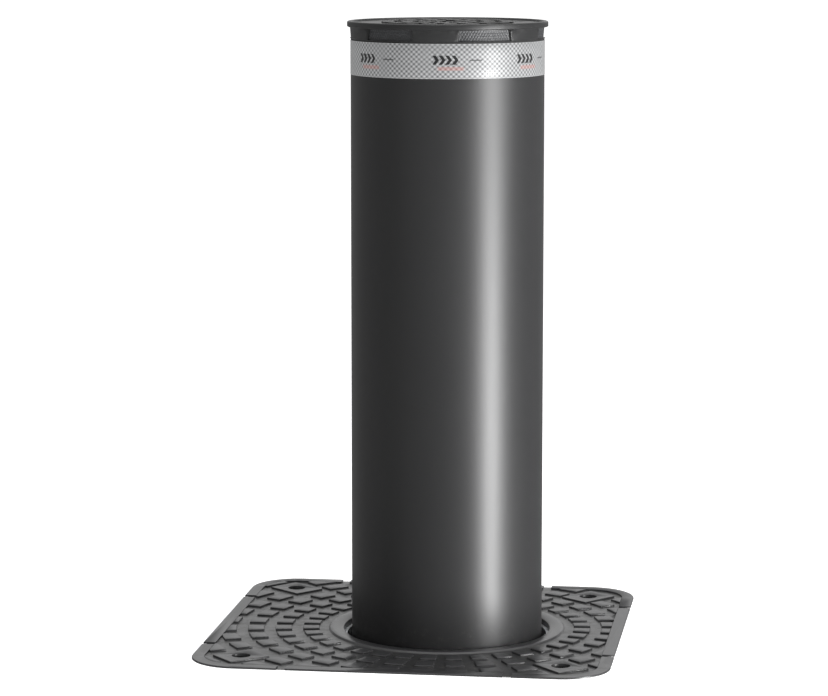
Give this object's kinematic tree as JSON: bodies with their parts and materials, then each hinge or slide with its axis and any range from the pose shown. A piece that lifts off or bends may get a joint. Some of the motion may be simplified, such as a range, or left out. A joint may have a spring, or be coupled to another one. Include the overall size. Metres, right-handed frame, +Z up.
{
  "type": "retractable bollard",
  "caption": "Round steel post with a lit cap and reflective band that a screw drive lifts through a cast tread plate from a buried pit casing.",
  "frame": {"origin": "on the post's axis at the walking surface of the tread plate, which lies at ground level", "axes": "+Z up along the post, -Y towards the front, +X to the right; the post is raised at rest"},
  "size_m": [0.468, 0.468, 1.7798],
  "materials": {
    "tread_iron": "cast, blasted, dark grey",
    "galvanised": "hot-dip galvanised",
    "stainless": "fine turned",
    "post_coat": "satin black powder coat",
    "head_coat": "satin black coat on cast alloy",
    "reflector": "silver-white retroreflective film",
    "black_rubber": "matt",
    "buffer_rubber": "matt",
    "slide_plastic": "machined, natural",
    "smoked_lens": "smoked, prismatic",
    "circuit_board": "solder mask",
    "potted_box": "moulded",
    "ground_steel": "ground and oiled",
    "zinc_screw": "zinc plated",
    "black_screw": "black oxide",
    "cast_alloy": "die cast",
    "motor_paint": "grey enamel",
    "brake_paint": "black enamel",
    "box_plastic": "moulded, grey",
    "nickel_brass": "turned",
    "belt_rubber": "ribbed",
    "cable_jacket": "smooth",
    "lever_red": "dipped"
  },
  "bodies": {
    "pit_unit": {"tread_plate": "tread_iron", "plate_screws": "stainless", "wiper_seal": "black_rubber", "carrier_flange": "galvanised", "outer_guide_tube": "galvanised", "upper_guide_bush": "slide_plastic", "bush_screws": "zinc_screw", "stop_ring": "galvanised", "upper_stop_buffer": "buffer_rubber", "anti_rotation_rail": "ground_steel", "unit_base_plate": "galvanised", "lower_buffer": "buffer_rubber", "limit_sensors": "nickel_brass", "sensor_lock_nuts": "nickel_brass", "actuator_barrel": "galvanised", "barrel_gland": "slide_plastic", "barrel_foot": "galvanised", "foot_bolts": "zinc_screw", "screw_bearings": "ground_steel", "gearbox": "cast_alloy", "motor_body": "motor_paint", "brake_cover": "brake_paint", "lever_pin": "ground_steel", "motor_bolts": "zinc_screw", "drive_belt": "belt_rubber", "belt_guard": "galvanised", "junction_box": "box_plastic", "junction_lid": "box_plastic", "lid_screws": "stainless", "cable_glands": "nickel_brass", "motor_cable": "cable_jacket", "spiral_lead": "cable_jacket", "casing_top_frame": "galvanised", "weld_nuts": "zinc_screw", "casing_panels": "galvanised", "casing_floor": "galvanised", "drain_collar": "galvanised", "conduit_sleeve": "galvanised", "anchor_bars": "galvanised"},
    "post": {"lift_tube": "post_coat", "reflective_band": "reflector", "head_cap": "head_coat", "cap_screws": "black_screw", "head_gasket": "black_rubber", "light_lenses": "smoked_lens", "light_boards": "circuit_board", "head_plate": "galvanised", "light_driver": "potted_box", "head_bolt": "zinc_screw", "push_tube": "ground_steel", "ball_nut": "ground_steel", "lower_guide_flange": "galvanised", "lower_wear_ring": "slide_plastic"},
    "lifting_screw": {"ball_screw": "ground_steel", "screw_tip_guide": "slide_plastic", "screw_pulley": "cast_alloy", "pulley_lock_nut": "zinc_screw"},
    "motor_rotor": {"motor_pulley": "cast_alloy", "motor_shaft": "ground_steel"},
    "release_lever": {"brake_release_lever": "lever_red"}
  },
  "joints": [
    {"name": "post_lift", "type": "slide", "parent": "pit_unit", "child": "post", "axis": [0, 0, 1], "range_m": [-0.7, 0], "deforming": ["spiral_lead"]},
    {"name": "screw_turn", "type": "hinge", "parent": "pit_unit", "child": "lifting_screw", "pos_m": [0, 0, 0], "axis": [0, 0, 1], "range_deg": [-1, 10081]},
    {"name": "motor_turn", "type": "hinge", "parent": "pit_unit", "child": "motor_rotor", "pos_m": [-0.181, 0, 0], "axis": [0, 0, 1], "range_deg": [-2, 20162]},
    {"name": "lever_pull", "type": "hinge", "parent": "pit_unit", "child": "release_lever", "pos_m": [-0.181, 0.016, -0.733], "axis": [1, 0, 0], "range_deg": [0, 15], "stiffness_Nm_per_rad": 1.5, "springref_deg": -17.19}
  ],
  "couplings": [
    {"joint": "screw_turn", "follows": "post_lift", "rad_per_m": -251.33},
    {"joint": "motor_turn", "follows": "post_lift", "rad_per_m": -502.65}
  ]
}
